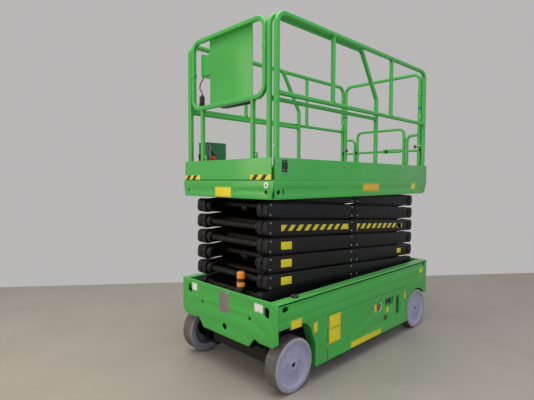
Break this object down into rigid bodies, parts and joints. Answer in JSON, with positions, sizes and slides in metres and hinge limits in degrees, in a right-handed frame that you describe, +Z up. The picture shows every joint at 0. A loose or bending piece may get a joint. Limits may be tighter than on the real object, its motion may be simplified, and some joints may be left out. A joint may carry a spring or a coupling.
{
  "type": "scissor lift",
  "caption": "Electric slab scissor lift, folded: chassis with steered and fixed wheels, stacked arm levels, railed platform with roll-out deck and swing gate.",
  "frame": {"origin": "on the floor under the middle of the machine's overall box", "axes": "+X the machine's left side, -Y its front, +Z up"},
  "size_m": [1.1908, 2.403, 2.7588],
  "materials": {
    "green": "glossy powder coat",
    "dark_green": "semi-gloss paint",
    "black_paint": "satin powder coat",
    "chrome": "hard chrome plate",
    "rubber": "non-marking solid rubber",
    "rim": "grey wheel paint",
    "amber": "amber lens",
    "black_plastic": "black moulded plastic and rubber sheath",
    "battery": "moulded case",
    "grey_steel": "grey paint"
  },
  "bodies": {
    "chassis": {"chassis_deck": "black_paint", "chassis_frame": "black_paint", "front_plate": "green", "rear_plate": "green", "left_side_plate": "green", "right_side_plate": "green", "boarding_ladder": "green", "beacon": "amber", "steer_axle": "black_paint", "rear_axle": "black_paint"},
    "outer_arms_1": {"outer_arms_1": "black_paint"},
    "inner_arms_1": {"inner_arms_1": "black_paint"},
    "outer_arms_2": {"outer_arms_2": "black_paint"},
    "inner_arms_2": {"inner_arms_2": "black_paint"},
    "outer_arms_3": {"outer_arms_3": "black_paint"},
    "inner_arms_3": {"inner_arms_3": "black_paint"},
    "outer_arms_4": {"outer_arms_4": "black_paint"},
    "inner_arms_4": {"inner_arms_4": "black_paint"},
    "outer_arms_5": {"outer_arms_5": "black_paint"},
    "inner_arms_5": {"inner_arms_5": "black_paint"},
    "outer_arms_6": {"outer_arms_6": "black_paint"},
    "inner_arms_6": {"inner_arms_6": "black_paint"},
    "platform": {"platform_frame": "green", "left_rail": "green", "right_rail": "green", "rear_rail": "green"},
    "lower_lift_barrel": {"lower_lift_barrel": "black_paint"},
    "lower_lift_rod": {"lower_lift_rod": "chrome"},
    "upper_lift_barrel": {"upper_lift_barrel": "black_paint"},
    "upper_lift_rod": {"upper_lift_rod": "chrome"},
    "slide_deck": {"slide_deck": "green", "left_slide_rail": "green", "right_slide_rail": "green", "front_hoop": "green", "control_station": "green", "control_lead": "black_plastic", "lead_connector": "black_plastic", "deck_power_box": "dark_green"},
    "entry_gate": {"entry_gate": "green"},
    "left_tray": {"left_tray": "green", "battery_pack": "battery"},
    "right_tray": {"right_tray": "green", "pump_unit": "grey_steel"},
    "left_pothole_guard": {"left_pothole_guard": "black_paint"},
    "right_pothole_guard": {"right_pothole_guard": "black_paint"},
    "left_knuckle": {"left_knuckle": "black_paint"},
    "left_front_wheel": {"left_front_tyre": "rubber", "left_front_rim": "rim"},
    "left_rear_wheel": {"left_rear_tyre": "rubber", "left_rear_rim": "rim"},
    "right_knuckle": {"right_knuckle": "black_paint"},
    "right_front_wheel": {"right_front_tyre": "rubber", "right_front_rim": "rim"},
    "right_rear_wheel": {"right_rear_tyre": "rubber", "right_rear_rim": "rim"},
    "steer_rod": {"steer_rod": "chrome"}
  },
  "joints": [
    {"name": "lift", "type": "hinge", "parent": "chassis", "child": "outer_arms_1", "pos_m": [0, 1.065, 0.672], "axis": [-1, 0, 0], "range_deg": [0, 57.5]},
    {"name": "inner_arms_1_turn", "type": "hinge", "parent": "outer_arms_1", "child": "inner_arms_1", "pos_m": [0, -0.01, 0.7397], "axis": [-1, 0, 0], "range_deg": [-115, 0]},
    {"name": "inner_arms_2_turn", "type": "hinge", "parent": "outer_arms_1", "child": "inner_arms_2", "pos_m": [0, -1.085, 0.8074], "axis": [-1, 0, 0], "range_deg": [-115, 0]},
    {"name": "outer_arms_2_turn", "type": "hinge", "parent": "inner_arms_2", "child": "outer_arms_2", "pos_m": [0, -0.01, 0.8751], "axis": [-1, 0, 0], "range_deg": [0, 115]},
    {"name": "outer_arms_3_turn", "type": "hinge", "parent": "inner_arms_2", "child": "outer_arms_3", "pos_m": [0, 1.065, 0.9428], "axis": [-1, 0, 0], "range_deg": [0, 115]},
    {"name": "inner_arms_3_turn", "type": "hinge", "parent": "outer_arms_3", "child": "inner_arms_3", "pos_m": [0, -0.01, 1.0105], "axis": [-1, 0, 0], "range_deg": [-115, 0]},
    {"name": "inner_arms_4_turn", "type": "hinge", "parent": "outer_arms_3", "child": "inner_arms_4", "pos_m": [0, -1.085, 1.0782], "axis": [-1, 0, 0], "range_deg": [-115, 0]},
    {"name": "outer_arms_4_turn", "type": "hinge", "parent": "inner_arms_4", "child": "outer_arms_4", "pos_m": [0, -0.01, 1.1459], "axis": [-1, 0, 0], "range_deg": [0, 115]},
    {"name": "outer_arms_5_turn", "type": "hinge", "parent": "inner_arms_4", "child": "outer_arms_5", "pos_m": [0, 1.065, 1.2136], "axis": [-1, 0, 0], "range_deg": [0, 115]},
    {"name": "inner_arms_5_turn", "type": "hinge", "parent": "outer_arms_5", "child": "inner_arms_5", "pos_m": [0, -0.01, 1.2813], "axis": [-1, 0, 0], "range_deg": [-115, 0]},
    {"name": "inner_arms_6_turn", "type": "hinge", "parent": "outer_arms_5", "child": "inner_arms_6", "pos_m": [0, -1.085, 1.349], "axis": [-1, 0, 0], "range_deg": [-115, 0]},
    {"name": "outer_arms_6_turn", "type": "hinge", "parent": "inner_arms_6", "child": "outer_arms_6", "pos_m": [0, -0.01, 1.4167], "axis": [-1, 0, 0], "range_deg": [0, 115]},
    {"name": "platform_turn", "type": "hinge", "parent": "inner_arms_6", "child": "platform", "pos_m": [0, 1.065, 1.4844], "axis": [-1, 0, 0], "range_deg": [0, 57.5]},
    {"name": "lower_barrel_swing", "type": "hinge", "parent": "inner_arms_1", "child": "lower_lift_barrel", "pos_m": [0, 0.91816, 0.79815], "axis": [-1, 0, 0], "range_deg": [0, 120.02]},
    {"name": "lower_rod_slide", "type": "slide", "parent": "lower_lift_barrel", "child": "lower_lift_rod", "axis": [0, -0.9966, 0.0826], "range_m": [0, 0.4623]},
    {"name": "upper_barrel_swing", "type": "hinge", "parent": "inner_arms_4", "child": "upper_lift_barrel", "pos_m": [0, 0.91816, 1.20435], "axis": [-1, 0, 0], "range_deg": [0, 120.02]},
    {"name": "upper_rod_slide", "type": "slide", "parent": "upper_lift_barrel", "child": "upper_lift_rod", "axis": [0, -0.9966, 0.0826], "range_m": [0, 0.4623]},
    {"name": "deck_extension", "type": "slide", "parent": "platform", "child": "slide_deck", "axis": [0, -1, 0], "range_m": [0, 0.9]},
    {"name": "gate_swing", "type": "hinge", "parent": "platform", "child": "entry_gate", "pos_m": [0.306, 1.16, 1.905], "axis": [0, 0, 1], "range_deg": [0, 90]},
    {"name": "left_tray_swing", "type": "hinge", "parent": "chassis", "child": "left_tray", "pos_m": [0.592, -0.611, 0.3], "axis": [0, 0, -1], "range_deg": [0, 90]},
    {"name": "right_tray_swing", "type": "hinge", "parent": "chassis", "child": "right_tray", "pos_m": [-0.592, -0.611, 0.3], "axis": [0, 0, 1], "range_deg": [0, 90]},
    {"name": "left_guard_drop", "type": "hinge", "parent": "chassis", "child": "left_pothole_guard", "pos_m": [0.49, 0, 0.106], "axis": [0, 1, 0], "range_deg": [0, 80]},
    {"name": "right_guard_drop", "type": "hinge", "parent": "chassis", "child": "right_pothole_guard", "pos_m": [-0.49, 0, 0.106], "axis": [0, -1, 0], "range_deg": [0, 80]},
    {"name": "steer", "type": "hinge", "parent": "chassis", "child": "left_knuckle", "pos_m": [0.44, -1, 0.203], "axis": [0, 0, 1], "range_deg": [-35, 35]},
    {"name": "right_steer", "type": "hinge", "parent": "chassis", "child": "right_knuckle", "pos_m": [-0.44, -1, 0.203], "axis": [0, 0, 1], "range_deg": [-35, 35]},
    {"name": "steer_rod_slide", "type": "slide", "parent": "chassis", "child": "steer_rod", "axis": [1, 0, 0], "range_m": [-0.0615, 0.0615]},
    {"name": "left_front_roll", "type": "hinge", "parent": "left_knuckle", "child": "left_front_wheel", "pos_m": [0.5285, -1, 0.203], "axis": [1, 0, 0], "continuous": true},
    {"name": "left_rear_roll", "type": "hinge", "parent": "chassis", "child": "left_rear_wheel", "pos_m": [0.5285, 0.95, 0.203], "axis": [1, 0, 0], "continuous": true},
    {"name": "right_front_roll", "type": "hinge", "parent": "right_knuckle", "child": "right_front_wheel", "pos_m": [-0.5285, -1, 0.203], "axis": [1, 0, 0], "continuous": true},
    {"name": "right_rear_roll", "type": "hinge", "parent": "chassis", "child": "right_rear_wheel", "pos_m": [-0.5285, 0.95, 0.203], "axis": [1, 0, 0], "continuous": true}
  ],
  "couplings": [
    {"joint": "inner_arms_1_turn", "follows": "lift", "ratio": -2},
    {"joint": "inner_arms_2_turn", "follows": "lift", "ratio": -2},
    {"joint": "outer_arms_2_turn", "follows": "lift", "ratio": 2},
    {"joint": "outer_arms_3_turn", "follows": "lift", "ratio": 2},
    {"joint": "inner_arms_3_turn", "follows": "lift", "ratio": -2},
    {"joint": "inner_arms_4_turn", "follows": "lift", "ratio": -2},
    {"joint": "outer_arms_4_turn", "follows": "lift", "ratio": 2},
    {"joint": "outer_arms_5_turn", "follows": "lift", "ratio": 2},
    {"joint": "inner_arms_5_turn", "follows": "lift", "ratio": -2},
    {"joint": "inner_arms_6_turn", "follows": "lift", "ratio": -2},
    {"joint": "outer_arms_6_turn", "follows": "lift", "ratio": 2},
    {"joint": "platform_turn", "follows": "lift", "ratio": 1},
    {"joint": "lower_barrel_swing", "follows": "lift", "ratio": 2.0872},
    {"joint": "lower_rod_slide", "follows": "lift", "m_per_rad": 0.46014},
    {"joint": "upper_barrel_swing", "follows": "lift", "ratio": 2.0872},
    {"joint": "upper_rod_slide", "follows": "lift", "m_per_rad": 0.46014},
    {"joint": "right_guard_drop", "follows": "left_guard_drop", "ratio": 1},
    {"joint": "right_steer", "follows": "steer", "ratio": 1},
    {"joint": "steer_rod_slide", "follows": "steer", "m_per_rad": -0.1}
  ]
}
